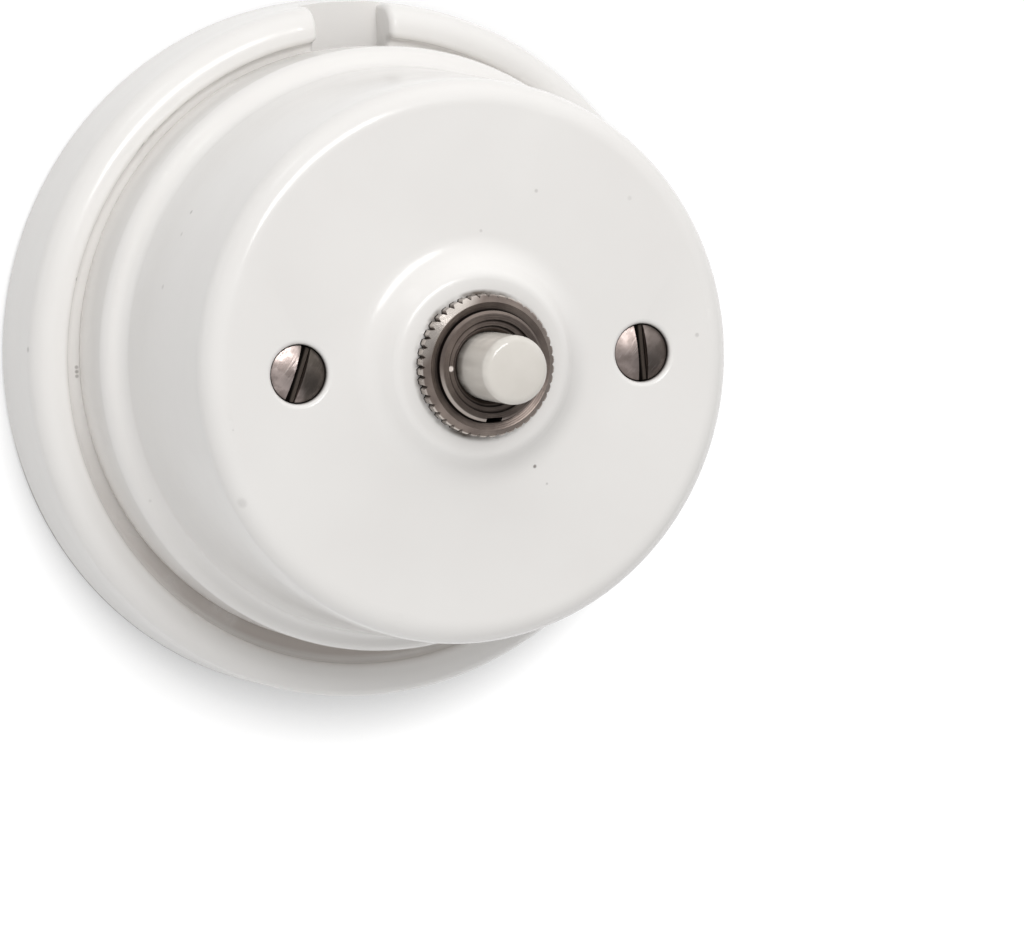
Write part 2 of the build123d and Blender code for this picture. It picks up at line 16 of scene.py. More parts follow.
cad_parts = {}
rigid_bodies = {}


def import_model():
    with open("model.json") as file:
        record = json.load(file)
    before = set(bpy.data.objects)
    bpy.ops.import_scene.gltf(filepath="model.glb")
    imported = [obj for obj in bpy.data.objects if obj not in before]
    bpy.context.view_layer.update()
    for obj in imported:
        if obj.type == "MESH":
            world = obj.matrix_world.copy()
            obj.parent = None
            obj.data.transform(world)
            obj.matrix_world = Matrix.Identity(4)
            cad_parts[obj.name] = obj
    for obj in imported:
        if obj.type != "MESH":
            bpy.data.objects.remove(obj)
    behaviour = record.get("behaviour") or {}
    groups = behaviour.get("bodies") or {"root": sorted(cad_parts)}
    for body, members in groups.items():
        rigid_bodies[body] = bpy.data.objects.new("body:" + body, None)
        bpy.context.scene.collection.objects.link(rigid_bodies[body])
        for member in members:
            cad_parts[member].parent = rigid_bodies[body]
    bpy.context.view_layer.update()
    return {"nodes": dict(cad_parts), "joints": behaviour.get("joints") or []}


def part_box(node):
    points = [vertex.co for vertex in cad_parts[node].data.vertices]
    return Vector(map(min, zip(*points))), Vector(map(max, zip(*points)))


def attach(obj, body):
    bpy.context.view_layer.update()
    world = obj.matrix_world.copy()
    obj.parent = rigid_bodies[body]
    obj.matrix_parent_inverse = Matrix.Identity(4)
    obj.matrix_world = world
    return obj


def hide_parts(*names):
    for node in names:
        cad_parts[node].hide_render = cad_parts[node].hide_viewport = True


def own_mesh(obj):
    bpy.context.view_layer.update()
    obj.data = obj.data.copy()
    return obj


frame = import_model()
nodes = frame["nodes"]

# %% [markdown]
# Sizes are easier to read in millimetres, and Blender works in metres, so one value turns one into
# the other. Colours are easier to pick as sRGB hex values, and shaders work in linear light, so one
# function turns those. A material is a graph of nodes, and one more function adds a node, sets it
# up and links its inputs, so that each material below reads as a list of steps.

# %% Helpers
MM = 0.001


def linear(hex_colour):
    """An sRGB hex colour as the linear red, green, blue and alpha that a shader takes."""
    channels = [int(hex_colour[i:i + 2], 16) / 255 for i in (1, 3, 5)]
    return [c / 12.92 if c <= 0.04045 else ((c + 0.055) / 1.055) ** 2.4 for c in channels] + [1.0]


def add(tree, kind, inputs=None, **settings):
    """A new node; an input is a value, an output to link, or a node whose first output is linked."""
    made = tree.nodes.new("ShaderNode" + kind)
    for name, value in settings.items():
        setattr(made, name, value)
    for key, value in (inputs or {}).items():
        if isinstance(value, bpy.types.Node):
            value = next(output for output in value.outputs if output.enabled)
        if isinstance(value, bpy.types.NodeSocket):
            tree.links.new(value, made.inputs[key])
        else:
            made.inputs[key].default_value = value
    return made


def empty_tree(owner):
    """The node tree of a new material or world, with nothing in it yet."""
    owner.use_nodes = True
    owner.node_tree.nodes.clear()
    return owner.node_tree


# %% [markdown]
# The camera stands to the left of the push and a little above it, as the photographer did. Its
# place was found by laying the rings of the solids over the photograph: the base, the shoulder,
# the face, the bush and the two screws. The lens is long, so the rings hardly taper. The base hangs
# a little lower than the cover does. Angles are in degrees and lengths in millimetres.

# %% Camera
AZIMUTH, ELEVATION, ROLL = -22.23, 5.65, -1.8
DISTANCE = 600.0
SLIDE_RIGHT, SLIDE_UP = -20.62, 14.34
BASE_DROP = 0.6
SENSOR_WIDTH = 36.0
FOCAL_PIXELS, IMAGE_WIDTH = 5183.9, 1024


def toward(azimuth, elevation):
    """The direction from the push to a thing at an azimuth to its right and an elevation."""
    turn = radians(azimuth)
    rise = radians(elevation)
    return Vector((sin(turn) * cos(rise), -cos(turn) * cos(rise), sin(rise)))


back = toward(AZIMUTH, ELEVATION)
level_right = Vector((0, 0, 1)).cross(back).normalized()
right = Matrix.Rotation(radians(ROLL), 3, back) @ level_right
up = back.cross(right)
place = DISTANCE * back - SLIDE_RIGHT * right - SLIDE_UP * up - Vector((0, 0, BASE_DROP))

lens = bpy.data.cameras.new("camera")
lens.sensor_width = SENSOR_WIDTH
lens.lens = FOCAL_PIXELS * SENSOR_WIDTH / IMAGE_WIDTH
camera = bpy.data.objects.new("camera", lens)
camera.matrix_world = Matrix.Translation(place * MM) @ Matrix((right, up, back)).transposed().to_4x4()
bpy.context.scene.collection.objects.link(camera)
bpy.context.scene.camera = camera
print("lens in mm:", round(lens.lens, 1))

# %% [markdown]
# The push hangs on a plain pale wall. A part of the wall's brightness is the light that falls on
# it, and the rest is its own, for the eye and for mirrors, so that it is white without more light
# on the push. Its own light fades where the push shuts out the light from above and from the left,
# so the shadow stays. From behind the wall is clear, and it has a hole behind the foot ring, so that
# the back of the base can be seen and gets light.

# %% Wall
WALL_SIZE = 4.0
WALL_GAP = 0.2
HOLE_BEHIND = 38.5
SHADOW_REACH = 7.4
SHADOW_LEAN = (-0.45, 0, 0.38)
SHADOW_FULL = 0.3
OWN_LIGHT, SHADOW_LIGHT = 0.75, 0.24

bpy.ops.mesh.primitive_plane_add(size=WALL_SIZE, location=(0, WALL_GAP * MM, 0), rotation=(pi / 2, 0, 0))
wall = bpy.context.active_object
wall.name = "wall"

pale_paint = bpy.data.materials.new("pale_wall_paint")
tree = empty_tree(pale_paint)
ray = add(tree, "LightPath").outputs
seen = add(tree, "Math", {0: ray["Is Camera Ray"], 1: ray["Is Glossy Ray"]}, operation="MAXIMUM")
side = add(tree, "NewGeometry").outputs
leaning = add(tree, "VectorMath", {0: side["Normal"], 1: SHADOW_LEAN}, operation="ADD")
open_air = add(tree, "AmbientOcclusion", {"Distance": SHADOW_REACH * MM, "Normal": leaning}, samples=16)
fading = add(tree, "MapRange", {
    "Value": open_air.outputs["AO"], "From Min": SHADOW_FULL, "To Min": SHADOW_LIGHT, "To Max": OWN_LIGHT
})
own_light = add(tree, "Math", {0: seen, 1: fading}, operation="MULTIPLY")
glow = add(tree, "Emission", {"Color": (1, 1, 1, 1), "Strength": own_light})
paint = add(tree, "BsdfDiffuse", {"Color": linear("#B4B4B4")})
front = add(tree, "AddShader", {0: paint, 1: glow})
clear = add(tree, "BsdfTransparent")
spot = add(tree, "TexCoord").outputs["Object"]
from_foot = add(tree, "VectorMath", {0: spot, 1: (0, -BASE_DROP * MM, 0)}, operation="DISTANCE")
hole = add(tree, "Math", {0: from_foot, 1: HOLE_BEHIND * MM}, operation="LESS_THAN")
unseen = add(tree, "Math", {0: side["Backfacing"], 1: hole}, operation="MAXIMUM")
both = add(tree, "MixShader", {0: unseen, 1: front, 2: clear})
add(tree, "OutputMaterial", {"Surface": both})
wall.data.materials.append(pale_paint)
print("wall:", WALL_SIZE, "m across,", WALL_GAP, "mm behind the foot ring")

# %% [markdown]
# The photograph was taken in something like a light tent: bright above and a little to the right,
# less bright below, and dark round the sides, with some light thrown back by a table low on the
# left. The metal faces turn to the dark sides of that room, and that is why they look nearly black
# beside the glaze.

# %% Room
ROOM_BELOW, ROOM_SIDES, ROOM_ABOVE = 0.26, 0.03, 1.5
ROOF_LEAN = 20
TABLE_LIGHT = 0.85
TABLE_AZIMUTH, TABLE_ELEVATION = -70, -42

room = bpy.data.worlds.new("room")
bpy.context.scene.world = room
tree = empty_tree(room)
gaze = add(tree, "TexCoord").outputs["Generated"]
roof_way = toward(90, 90 - ROOF_LEAN)
table_way = toward(TABLE_AZIMUTH, TABLE_ELEVATION)
rise = add(tree, "VectorMath", {0: gaze, 1: roof_way}, operation="DOT_PRODUCT")
fall = add(tree, "VectorMath", {0: gaze, 1: (0, 0, -1)}, operation="DOT_PRODUCT")
nearness = add(tree, "VectorMath", {0: gaze, 1: table_way}, operation="DOT_PRODUCT")
above = add(tree, "MapRange", {"Value": rise, "To Min": ROOM_SIDES, "To Max": ROOM_ABOVE})
below = add(tree, "MapRange", {"Value": fall, "To Max": ROOM_BELOW})
table = add(tree, "MapRange", {"Value": nearness, "To Max": TABLE_LIGHT}, interpolation_type="SMOOTHSTEP")
level = add(tree, "Math", {0: above, 1: below}, operation="ADD")
level = add(tree, "Math", {0: level, 1: table}, operation="ADD")
light = add(tree, "Background", {"Color": (1, 1, 1, 1), "Strength": level})
add(tree, "OutputWorld", {"Surface": light})
print("room: light of", ROOM_SIDES, "at the sides,", ROOM_ABOVE, "above and", ROOM_BELOW, "below")

# %% [markdown]
# Two panels do the rest. The main one hangs in front, above the push, long and narrow with its right
# end raised: it lights the face and draws the white arcs along the upper left of every rounded edge.
# A small one, high on the left, lights up the nut's bevel. A panel's power follows from its
# brightness and area.

# %% Lamps
PANEL_DISTANCE = 3.0


def panel(name, azimuth, elevation, length, height, tilt, brightness):
    """A lamp that faces the push, as bright as a white surface in light of that level."""
    lamp = bpy.data.lights.new(name, "AREA")
    lamp.shape = "RECTANGLE"
    lamp.size = length
    lamp.size_y = height
    lamp.energy = pi * brightness * length * height
    way = toward(azimuth, elevation)
    aim = way.to_track_quat("Z", "Y").to_matrix().to_4x4() @ Matrix.Rotation(radians(tilt), 4, "Z")
    holder = bpy.data.objects.new(name, lamp)
    holder.matrix_world = Matrix.Translation(PANEL_DISTANCE * way) @ aim
    bpy.context.scene.collection.objects.link(holder)
    print(name, "power in W:", round(lamp.energy, 2))


panel("front_panel", azimuth=-1.4, elevation=24.2, length=1.35, height=0.78, tilt=25, brightness=9.6)
panel("high_panel", azimuth=-54, elevation=55, length=0.6, height=0.6, tilt=0, brightness=1.8)

# %% [markdown]
# Dirt, wear and glaze follow the shape of the push, so most of the patterns below need to know how
# far a point lies from the push's axis and from the wall. The solids carry their place in their
# meshes, so the object coordinates are places in the model's own frame. A mask that is full only
# between given distances then picks out a ring, a step or an edge.

# %% Measure from the axis and the wall
# How far the cover's face and the base's seat stand from the wall, in mm, which no box shows
FACE_DEPTH, SEAT_DEPTH = 43.4, 10.2
base_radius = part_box("mounting_base")[1].x / MM
flange_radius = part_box("cover")[1].x / MM
nut_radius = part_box("ring_nut")[1].x / MM
boss_top = -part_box("ring_nut")[1].y / MM
nut_front = -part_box("ring_nut")[0].y / MM
bush_end = -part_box("bush")[0].y / MM
radii = (base_radius, flange_radius, nut_radius)
depths = (boss_top, nut_front, bush_end)
print("radii of base, flange and nut in mm:", [round(radius, 2) for radius in radii])
print("depths of boss, nut and bush in mm:", [round(depth, 2) for depth in depths])


def measure(tree):
    """The point that is shaded in mm, its distance from the push's axis, and from the wall."""
    spot = add(tree, "TexCoord").outputs["Object"]
    point = add(tree, "VectorMath", {0: spot, "Scale": 1 / MM}, operation="SCALE")
    across = add(tree, "VectorMath", {0: point, 1: (1, 0, 1)}, operation="MULTIPLY")
    radius = add(tree, "VectorMath", {0: across}, operation="LENGTH")
    depth = add(tree, "VectorMath", {0: point, 1: (0, -1, 0)}, operation="DOT_PRODUCT")
    return point, radius, depth


# %% [markdown]
# A limit is a value, where its step starts and where it is full. The steps are smooth and may rise
# or fall, so two limits on one value make a band. Masks then lay colours over one another.


# %% Masks and layers
def where(tree, *limits, strength=1.0):
    """A mask that is full where all its limits are met, and then as strong as is asked."""
    mask = strength
    for value, start, full in limits:
        bounds = {"Value": value, "From Min": start, "From Max": full}
        step = add(tree, "MapRange", bounds, interpolation_type="SMOOTHSTEP")
        mask = add(tree, "Math", {0: mask, 1: step}, operation="MULTIPLY")
    return mask


def any_of(tree, *masks):
    """A mask that is as full as the fullest of several."""
    fullest = masks[0]
    for mask in masks[1:]:
        fullest = add(tree, "Math", {0: fullest, 1: mask}, operation="MAXIMUM")
    return fullest


def painted(tree, ground, *layers):
    """A colour with layers of other colours over it, each where its mask says."""
    under = linear(ground)
    for mask, colour in layers:
        under = add(tree, "Mix", {"Factor": mask, "A": under, "B": linear(colour)}, data_type="RGBA")
    return under


def dress(material, *names):
    """Give the solids of these names a finish."""
    for name in names:
        for slot in nodes[name].material_slots:
            slot.material = material
    print(material.name, "on", ", ".join(names))


# %% [markdown]
# Hard porcelain, pressed, turned and dipped in a clear glaze, then fired. The body is white and the
# glaze is a glass of IOR 1.5, so it is white with sharp, pale highlights. The glaze lies in faint
# waves from the turning and has a fine orange peel, and both break the edges of the highlights.
# Iron in the clay leaves a few brown specks. Years on a wall add a beige film in the groove between
# base and cover and dirt in the screw holes and round the nut, and these layers carry painted shade
# as well; in the groove it is darkest at the bottom. A grey line along the base's back edge on the
# lower left is a painted contact shadow where the base meets the wall. The foot ring stood bare in
# the kiln and stayed matt.

# %% Specks and marks on the glaze
# Marks that the photograph shows, as x, depth and z with their radius, in mm, and how dark they are
MARKS = (
    (-26.5, 28.2, 17.2, 0.4, 0.45), (-27.7, 28.6, 14.8, 0.35, 0.2), (-30.0, 28.5, 9.2, 0.4, 0.2),
    (-39.6, 9.1, 1.8, 0.45, 0.35), (-34.4, 11.4, 9.5, 0.35, 0.5), (7.9, 43.4, 18.3, 0.3, 0.25),
    (18.9, 43.4, 17.0, 0.35, 0.12), (6.7, 43.4, -11.6, 0.3, 0.8), (8.1, 43.4, -13.6, 0.2, 0.3),
    (26.5, 43.4, 1.6, 0.35, 0.25), (1.3, 43.4, 14.3, 0.25, 0.2), (-29.5, 19.5, -15.0, 0.35, 0.3),
    (-26.8, 42.6, -13.4, 0.8, 0.15), (-34.4, 10.2, -0.4, 0.3, 0.5),
    (-34.4, 10.2, -0.9, 0.3, 0.6), (-34.4, 10.2, -1.4, 0.3, 0.5),
)
SPECK_SPACING = 6.5
SPECK_RADIUS = 0.16
SPECK_DARKNESS = 0.3
# The share of the spaces that have no speck
BARE_SHARE = 0.73


def specks(tree, point):
    """A mask of the listed marks, and of fine iron specks strewn between them."""
    cells = add(tree, "TexVoronoi", {"Vector": point, "Scale": 1 / SPECK_SPACING}).outputs
    size = SPECK_RADIUS / SPECK_SPACING
    chance = add(tree, "SeparateXYZ", {0: cells["Color"]}).outputs["X"]
    fine = where(
        tree, (cells["Distance"], size, 0.4 * size), (chance, BARE_SHARE - 0.01, BARE_SHARE + 0.01),
        strength=SPECK_DARKNESS,
    )
    marks = []
    for x, depth, z, radius, darkness in MARKS:
        gap = add(tree, "VectorMath", {0: point, 1: (x, -depth, z)}, operation="DISTANCE")
        marks.append(where(tree, (gap, radius, 0.3 * radius), strength=darkness))
    return any_of(tree, fine, *marks)


print("marks placed by hand:", len(MARKS))

# %% [markdown]
# Waves and orange peel are heights, and a bump node turns heights into tilted reflections. The
# waves are some 9 mm long and the peel 1.4 mm, and both are a few hundredths of a millimetre high
# at most.

# %% Waves and orange peel of the glaze
WAVE_LENGTH = 9.0
PEEL_LENGTH = 1.4


def glaze_relief(tree, point, wave_height, peel_height):
    """The glaze's own relief as a normal, from waves and a fine peel whose heights are in mm."""
    waves = add(tree, "TexNoise", {"Vector": point, "Scale": 1 / WAVE_LENGTH, "Detail": 1.0})
    peel = add(tree, "TexNoise", {"Vector": point, "Scale": 1 / PEEL_LENGTH, "Detail": 1.0})
    slow = add(tree, "Bump", {"Height": waves, "Distance": wave_height * MM})
    return add(tree, "Bump", {"Height": peel, "Distance": peel_height * MM, "Normal": slow})


# %% Glazed porcelain of base and cover
SCREW_OFFSET = 20.0
HOLE_RADIUS = 3.2
CLOUD_SIZE, PATCH_SIZE, SMUDGE_SIZE = 14.0, 4.0, 11.0
# The film and painted shade in the groove start a little below the axis and are darkest at the bottom
FILM_SHADE_START, FILM_SHADE_FULL, FILM_SHADE_STRENGTH = -6.0, -32.0, 0.45
# The way from the axis to the lower left, where a contact shadow is painted along the base's back edge
CONTACT_SHADOW_WAY = (-0.75, 0, -0.66)


def glazed_porcelain():
    """White porcelain with grime, marks and painted shade, each where it was seen on the push."""
    material = bpy.data.materials.new("glazed_porcelain")
    tree = empty_tree(material)
    point, radius, depth = measure(tree)
    height = add(tree, "SeparateXYZ", {0: point}).outputs["Z"]
    clouds = add(tree, "TexNoise", {"Vector": point, "Scale": 1 / CLOUD_SIZE, "Detail": 3.0})
    patches = add(tree, "TexNoise", {"Vector": point, "Scale": 1 / PATCH_SIZE, "Detail": 4.0})
    smudges = add(tree, "TexNoise", {"Vector": point, "Scale": 1 / SMUDGE_SIZE, "Detail": 2.0})

    # Film and painted shade in the groove between base and cover, darker towards the bottom
    low = add(tree, "MapRange", {
        "Value": height, "From Min": FILM_SHADE_START, "From Max": FILM_SHADE_FULL, "To Max": FILM_SHADE_STRENGTH
    })
    film_and_shade = where(
        tree, (radius, flange_radius - 0.7, flange_radius - 0.1),
        (radius, flange_radius + 1.9, flange_radius + 1.1), (depth, SEAT_DEPTH - 0.6, SEAT_DEPTH - 0.1),
        (depth, SEAT_DEPTH + 1.5, SEAT_DEPTH + 0.5), (patches, 0.0, 0.5), strength=low,
    )
    folded = add(tree, "VectorMath", {0: point}, operation="ABSOLUTE")
    flat = add(tree, "VectorMath", {0: folded, 1: (1, 0, 1)}, operation="MULTIPLY")
    from_screw = add(tree, "VectorMath", {0: flat, 1: (SCREW_OFFSET, 0, 0)}, operation="DISTANCE")
    # Dirt and painted shade on the walls of the screw holes
    hole_dirt_and_shade = where(
        tree, (from_screw, HOLE_RADIUS + 0.4, HOLE_RADIUS + 0.1), (depth, FACE_DEPTH - 0.1, FACE_DEPTH - 0.8)
    )
    # Dirt and painted shade in a ring where the nut sits on the boss
    nut_dirt_and_shade = where(
        tree, (radius, nut_radius - 0.5, nut_radius - 0.2), (radius, nut_radius + 0.6, nut_radius + 0.1),
        (depth, boss_top - 0.4, boss_top - 0.1), (patches, 0.3, 0.7),
    )
    # A painted contact shadow: a grey line along the base's back edge on the lower left
    contact_shadow_side = add(tree, "VectorMath", {0: point, 1: CONTACT_SHADOW_WAY}, operation="DOT_PRODUCT")
    painted_contact_shadow = where(tree, (depth, 1.1, 0.6), (contact_shadow_side, base_radius - 6.0, base_radius - 1.0))
    bare = where(tree, (depth, 0.16, 0.12))
    dots = specks(tree, point)
    colour = painted(
        tree, "#E9E6E3", (clouds, "#F0EEEB"), (film_and_shade, "#A39184"), (hole_dirt_and_shade, "#3B3530"), (nut_dirt_and_shade, "#6A6057"),
        (painted_contact_shadow, "#5A554F"), (dots, "#6E6660"), (bare, "#E6DFD2"),
    )

    gloss = add(tree, "MapRange", {
        "Value": smudges, "From Min": 0.3, "From Max": 0.7, "To Min": 0.16, "To Max": 0.24
    })
    dulled = add(tree, "Mix", {"Factor": any_of(tree, film_and_shade, hole_dirt_and_shade), "A": gloss, "B": 0.5})
    roughness = add(tree, "Mix", {"Factor": bare, "A": dulled, "B": 0.75})
    normal = glaze_relief(tree, point, wave_height=0.05, peel_height=0.008)
    shader = add(tree, "BsdfPrincipled", {
        "Base Color": colour, "Roughness": roughness, "IOR": 1.5, "Normal": normal
    })
    add(tree, "OutputMaterial", {"Surface": shader})
    return material


dress(glazed_porcelain(), "mounting_base", "cover")

# %% [markdown]
# The button is porcelain too, from another batch: its glaze is warmer and handled. Fingers have left
# a thin grey film on its side, in faint streaks along the way that it slides, and a little dirt has
# gathered where it enters the bush. Its rounded edge is still smooth, so it holds small highlights.

# %% Handled porcelain of the button
BUTTON_RADIUS = 3.7
FINGER_CLOUD = 3.0
STREAKS_PER_MM = (0.8, 0.12, 0.8)


def handled_porcelain():
    """Warm porcelain with a thin layer of finger grease on its side."""
    material = bpy.data.materials.new("handled_porcelain")
    tree = empty_tree(material)
    point, radius, depth = measure(tree)
    clouds = add(tree, "TexNoise", {"Vector": point, "Scale": 1 / FINGER_CLOUD, "Detail": 3.0})
    along = add(tree, "VectorMath", {0: point, 1: STREAKS_PER_MM}, operation="MULTIPLY")
    streaks = add(tree, "TexNoise", {"Vector": along, "Scale": 1.0, "Detail": 2.0})

    side_film = where(
        tree, (streaks, 0.25, 0.8), (radius, BUTTON_RADIUS - 0.5, BUTTON_RADIUS - 0.05), strength=0.4
    )
    foot_dirt = where(tree, (depth, bush_end + 0.8, bush_end - 0.2), (streaks, 0.2, 0.6), strength=0.6)
    colour = painted(
        tree, "#D6D1C9", (clouds, "#E2DDD6"), (side_film, "#B4ADA5"), (foot_dirt, "#7A7068")
    )

    gloss = add(tree, "MapRange", {
        "Value": clouds, "From Min": 0.3, "From Max": 0.7, "To Min": 0.08, "To Max": 0.18
    })
    normal = glaze_relief(tree, point, wave_height=0.03, peel_height=0.004)
    shader = add(tree, "BsdfPrincipled", {
        "Base Color": colour, "Roughness": gloss, "IOR": 1.5, "Normal": normal
    })
    add(tree, "OutputMaterial", {"Surface": shader})
    return material


dress(handled_porcelain(), "push_button")

# %% [markdown]
# The ring nut and the bush are turned brass with a thin nickel plating, long tarnished to a warm
# dark grey. The nut's bevel and the crests of its knurl were rubbed bright by fingers, and the bevel's
# bright patch on the upper left, like the bright arc on the bush's chamfer at the lower left, is also
# a painted highlight. The valleys, the seam between nut and bush and the corners of the bush's end,
# which goes down in two steps, are darker with dirt and painted shade, and the lathe left fine rings
# on the faces. One pale spot on the bush's end is a painted glint.

# %% Tarnished nickel of nut and bush
NUT_BEVEL = 0.8
THREAD_RADIUS = 6.0
# The radius of each step in the bush's end, and how far in its dirt and painted shade start
STEPS = ((5.05, 0.1), (4.4, 0.4))
# A pale spot on the bush's end that is a painted glint, and its radius
GLINT_SPOT, GLINT_RADIUS = (-4.69, -48.45, 0.0), 0.38
TARNISH_SIZE = 2.2
PIT_SIZE, PIT_DEPTH = 0.35, 0.02
# A lathe's rings are finer than these, which are as coarse as they need to be to show
RING_PITCH, RING_DEPTH = 0.22, 0.004
# The ways from the axis to the bevel's rubbed patch with its painted highlight, and to the painted bright
# arc of the bush's edge
BEVEL_HIGHLIGHT_WAY, ARC_HIGHLIGHT_WAY = (-0.7, 0, 0.7), (-0.6, 0, -0.8)


def tarnished_nickel():
    """Dark plate, worn bright where fingers touch and with painted highlights, and with grime and painted
    shade in its hollows.
    """
    material = bpy.data.materials.new("tarnished_nickel_plate")
    tree = empty_tree(material)
    point, radius, depth = measure(tree)
    patches = add(tree, "TexNoise", {"Vector": point, "Scale": 1 / TARNISH_SIZE, "Detail": 5.0})

    slant = add(tree, "Math", {0: radius, 1: depth}, operation="ADD")
    bevel_slant = nut_radius + nut_front - NUT_BEVEL
    # Rubbed metal and a painted highlight on the upper left of the nut's bevel
    bevel_highlight_side = add(tree, "VectorMath", {0: point, 1: BEVEL_HIGHLIGHT_WAY}, operation="DOT_PRODUCT")
    bevel_wear_and_highlight = where(
        tree, (slant, bevel_slant - 0.12, bevel_slant - 0.04), (radius, nut_radius - 1.1, nut_radius - 0.9),
        (bevel_highlight_side, 5.2, 7.0),
    )
    crests = where(tree, (radius, nut_radius - 0.2, nut_radius - 0.08), (patches, 0.2, 0.5), strength=0.8)
    # Rubbed metal and a painted highlight in an arc on the bush's chamfer, at the lower left
    arc_highlight_side = add(tree, "VectorMath", {0: point, 1: ARC_HIGHLIGHT_WAY}, operation="DOT_PRODUCT")
    chamfer_wear_and_highlight = where(
        tree, (radius, THREAD_RADIUS - 0.45, THREAD_RADIUS - 0.3),
        (radius, THREAD_RADIUS, THREAD_RADIUS - 0.05), (arc_highlight_side, 3.0, 5.2), strength=0.4,
    )
    rubbed_and_highlit = any_of(tree, bevel_wear_and_highlight, crests, chamfer_wear_and_highlight)
    # The painted glint on the bush's end
    from_glint = add(tree, "VectorMath", {0: point, 1: GLINT_SPOT}, operation="DISTANCE")
    painted_glint = where(tree, (from_glint, GLINT_RADIUS, GLINT_RADIUS - 0.18))

    # Dirt and painted shade in the knurl's valleys, the seam, the steps' corners and at the nut's back
    valleys = where(
        tree, (radius, nut_radius - 0.18, nut_radius - 0.3), (radius, nut_radius - 0.7, nut_radius - 0.5),
        (depth, nut_front - 0.7, nut_front - 0.9), strength=0.45,
    )
    seam = where(
        tree, (radius, THREAD_RADIUS - 0.14, THREAD_RADIUS - 0.02),
        (radius, THREAD_RADIUS + 0.2, THREAD_RADIUS + 0.06), (depth, bush_end - 0.25, bush_end - 0.4),
    )
    corners = [
        where(
            tree, (radius, step - 0.35, step - 0.1), (radius, step + 0.02, step),
            (depth, bush_end - start, bush_end - start - 0.2), strength=0.8,
        )
        for step, start in STEPS
    ]
    foot = where(tree, (depth, boss_top + 0.5, boss_top + 0.1))
    dirt_and_shade = any_of(tree, valleys, seam, foot, *corners)
    colour = painted(
        tree, "#5A504C", (patches, "#93877F"), (rubbed_and_highlit, "#C9C1BA"), (dirt_and_shade, "#241F1C"), (painted_glint, "#F4ECE6")
    )

    dull = add(tree, "Mix", {"Factor": rubbed_and_highlit, "A": 0.36, "B": 0.22})
    roughness = add(tree, "Mix", {"Factor": any_of(tree, dirt_and_shade, painted_glint), "A": dull, "B": 0.7})
    lathe = add(tree, "Math", {0: radius, 1: 2 * pi / RING_PITCH}, operation="MULTIPLY")
    rings = add(tree, "Math", {0: lathe}, operation="SINE")
    pits = add(tree, "TexNoise", {"Vector": point, "Scale": 1 / PIT_SIZE, "Detail": 2.0})
    grooves = add(tree, "Bump", {"Height": rings, "Distance": RING_DEPTH * MM})
    normal = add(tree, "Bump", {"Height": pits, "Distance": PIT_DEPTH * MM, "Normal": grooves})
    shader = add(tree, "BsdfPrincipled", {
        "Base Color": colour, "Roughness": roughness, "Metallic": 1.0, "Normal": normal
    })
    add(tree, "OutputMaterial", {"Surface": shader})
    return material


dress(tarnished_nickel(), "ring_nut", "bush")

# %% [markdown]
# The cover screws are bare steel, dulled to a pinkish grey and scratched by screwdrivers that
# slipped. The right half of each head is darker: an olive tarnish with painted shade in it. Each slot
# is painted dark as shade, with a paler, dirt-brown strip on the right of its floor for the part in
# light. The right screw is duller than the left one.
# The screws behind the base are of the same steel, so they share it.

# %% Scratched steel of the screws
STAIN_SIZE = 1.8
SCRATCH_LENGTH, SCRATCH_WIDTH, SCRATCH_DEPTH, SCRATCH_ANGLE = 2.5, 0.12, 0.03, 50
# Depths of the heads' edge and the slots' floor, and one that only the heads are past
HEAD_EDGE, SLOT_FLOOR, HEADS_FROM = 42.7, 42.3, 38.0
# Where each screw stands, and how far its slot leans to the right
SLOTS = ((-SCREW_OFFSET, 20.0), (SCREW_OFFSET, -4.0))


